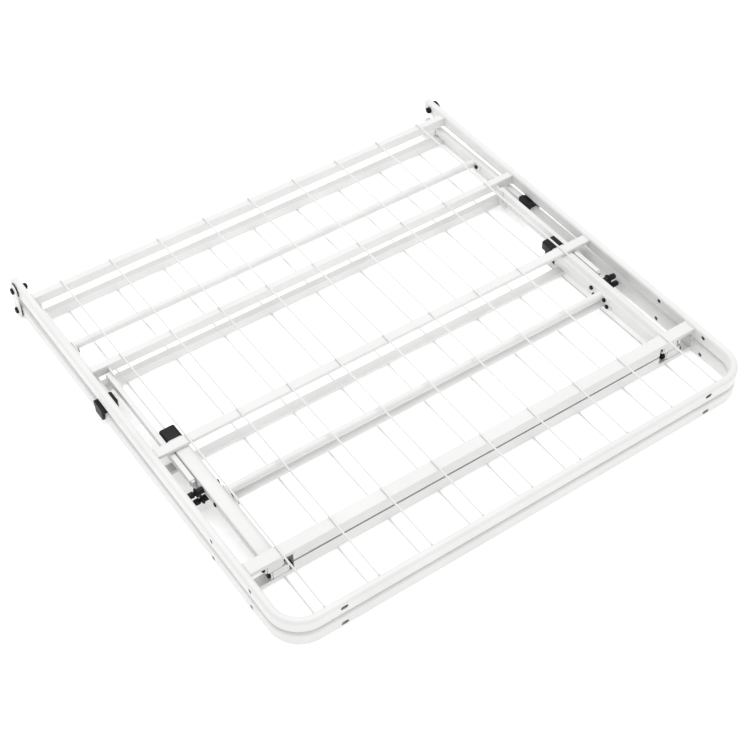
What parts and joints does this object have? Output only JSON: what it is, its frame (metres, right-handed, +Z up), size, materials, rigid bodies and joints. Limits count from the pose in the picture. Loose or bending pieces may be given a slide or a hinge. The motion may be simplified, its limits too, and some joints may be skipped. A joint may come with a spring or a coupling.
{
  "type": "folding metal bed frame",
  "caption": "Bi-fold steel platform bed frame, folded flat: two U-shaped halves with slats and wires, hinge links at the open ends and legs folded between them.",
  "frame": {"origin": "on the floor under the middle of the folded stack, at the lower half's mattress face", "axes": "+X across the bed, +Y from the end rails to the hinge, +Z up through the folded stack"},
  "size_m": [0.9844, 0.9483, 0.076],
  "materials": {
    "white_powder_coat": "satin white powder coat",
    "black_plastic": "moulded black, fine grain",
    "black_zinc": "black zinc plated",
    "white_wire": "powder coated wire"
  },
  "bodies": {
    "lower_half": {"lower_rim": "white_powder_coat", "lower_inner_slat": "white_powder_coat", "lower_end_slat": "white_powder_coat", "lower_flat_slat": "white_powder_coat", "lower_head_channel": "white_powder_coat", "lower_wires": "white_wire", "lower_leg_brackets": "white_powder_coat", "lower_leg_pivot_bolts": "black_zinc", "lower_leg_pivot_nuts": "black_zinc", "lower_stay_tabs": "white_powder_coat", "lower_stay_bolts": "white_powder_coat"},
    "fold_links": {"link_plate_left": "white_powder_coat", "link_plate_right": "white_powder_coat", "hinge_washers": "black_plastic", "hinge_bolts_lower": "black_zinc", "hinge_bolts_upper": "black_zinc", "hinge_nuts": "black_zinc"},
    "upper_half": {"upper_rim": "white_powder_coat", "upper_inner_slat": "white_powder_coat", "upper_end_slat": "white_powder_coat", "upper_flat_slat": "white_powder_coat", "upper_head_channel": "white_powder_coat", "upper_wires": "white_wire", "upper_leg_brackets": "white_powder_coat", "upper_leg_pivot_bolts": "black_zinc", "upper_leg_pivot_nuts": "black_zinc", "upper_stay_tabs": "white_powder_coat", "upper_stay_bolts": "white_powder_coat"},
    "upper_legs": {"upper_leg_left": "white_powder_coat", "upper_leg_right": "white_powder_coat", "upper_foot_caps": "black_plastic", "upper_leg_cross_tube": "white_powder_coat", "upper_leg_cross_bolts": "black_zinc", "upper_knob_studs": "black_zinc"},
    "lower_legs": {"lower_leg_left": "white_powder_coat", "lower_leg_right": "white_powder_coat", "lower_foot_caps": "black_plastic", "lower_leg_cross_tube": "white_powder_coat", "lower_leg_cross_bolts": "black_zinc", "lower_knob_studs": "black_zinc"},
    "middle_legs": {"middle_leg_left": "white_powder_coat", "middle_leg_right": "white_powder_coat", "middle_leg_hangers": "white_powder_coat", "middle_foot_caps": "black_plastic", "middle_cross_tube": "white_powder_coat", "middle_cross_bolts": "black_zinc"},
    "upper_stays": {"upper_stay_arms": "white_powder_coat"},
    "upper_slides": {"upper_stay_slides": "white_powder_coat"},
    "upper_knob_left_body": {"upper_knob_left": "black_plastic"},
    "upper_knob_right_body": {"upper_knob_right": "black_plastic"},
    "lower_stays": {"lower_stay_arms": "white_powder_coat"},
    "lower_slides": {"lower_stay_slides": "white_powder_coat"},
    "lower_knob_left_body": {"lower_knob_left": "black_plastic"},
    "lower_knob_right_body": {"lower_knob_right": "black_plastic"}
  },
  "joints": [
    {"name": "fold", "type": "hinge", "parent": "lower_half", "child": "fold_links", "pos_m": [0, 0.456, 0.014], "axis": [-1, 0, 0], "range_deg": [0, 90]},
    {"name": "upper_half_turn", "type": "hinge", "parent": "fold_links", "child": "upper_half", "pos_m": [0, 0.4561, 0.06173], "axis": [-1, 0, 0], "range_deg": [0, 91.2]},
    {"name": "upper_legs_swing", "type": "hinge", "parent": "upper_half", "child": "upper_legs", "pos_m": [0, -0.33467, 0.04193], "axis": [-1, 0, 0], "range_deg": [0, 90]},
    {"name": "lower_legs_swing", "type": "hinge", "parent": "lower_half", "child": "lower_legs", "pos_m": [0, -0.335, 0.02], "axis": [1, 0, 0], "range_deg": [0, 90]},
    {"name": "middle_legs_swing", "type": "hinge", "parent": "lower_half", "child": "middle_legs", "pos_m": [0, 0.456, 0.014], "axis": [-1, 0, 0], "range_deg": [0, 90]},
    {"name": "upper_stays_turn", "type": "hinge", "parent": "upper_half", "child": "upper_stays", "pos_m": [0, 0.16528, 0.04915], "axis": [1, 0, 0], "range_deg": [0, 21]},
    {"name": "upper_slides_run", "type": "slide", "parent": "upper_stays", "child": "upper_slides", "axis": [0, -0.9998, -0.0175], "range_m": [0, 0.229]},
    {"name": "lower_stays_turn", "type": "hinge", "parent": "lower_half", "child": "lower_stays", "pos_m": [0, 0.165, 0.0215], "axis": [-1, 0, 0], "range_deg": [0, 21]},
    {"name": "lower_slides_run", "type": "slide", "parent": "lower_stays", "child": "lower_slides", "axis": [0, -1, 0], "range_m": [0, 0.229]},
    {"name": "upper_knob_left_turn", "type": "hinge", "parent": "upper_legs", "child": "upper_knob_left_body", "pos_m": [-0.442, -0.14267, 0.04378], "axis": [-1, 0, 0], "range_deg": [-720, 0]},
    {"name": "upper_knob_right_turn", "type": "hinge", "parent": "upper_legs", "child": "upper_knob_right_body", "pos_m": [0.433, -0.14267, 0.04378], "axis": [1, 0, 0], "range_deg": [-720, 0]},
    {"name": "lower_knob_left_turn", "type": "hinge", "parent": "lower_legs", "child": "lower_knob_left_body", "pos_m": [0.442, -0.143, 0.0215], "axis": [1, 0, 0], "range_deg": [-720, 0]},
    {"name": "lower_knob_right_turn", "type": "hinge", "parent": "lower_legs", "child": "lower_knob_right_body", "pos_m": [-0.433, -0.143, 0.0215], "axis": [-1, 0, 0], "range_deg": [-720, 0]}
  ],
  "couplings": [
    {"joint": "upper_half_turn", "follows": "fold", "ratio": 1.0111},
    {"joint": "upper_legs_swing", "follows": "fold", "ratio": 1},
    {"joint": "lower_legs_swing", "follows": "fold", "ratio": 1},
    {"joint": "middle_legs_swing", "follows": "fold", "ratio": 1},
    {"joint": "upper_stays_turn", "follows": "fold", "ratio": 0.23111},
    {"joint": "upper_slides_run", "follows": "fold", "m_per_rad": 0.14547},
    {"joint": "lower_stays_turn", "follows": "fold", "ratio": 0.23111},
    {"joint": "lower_slides_run", "follows": "fold", "m_per_rad": 0.14547}
  ]
}
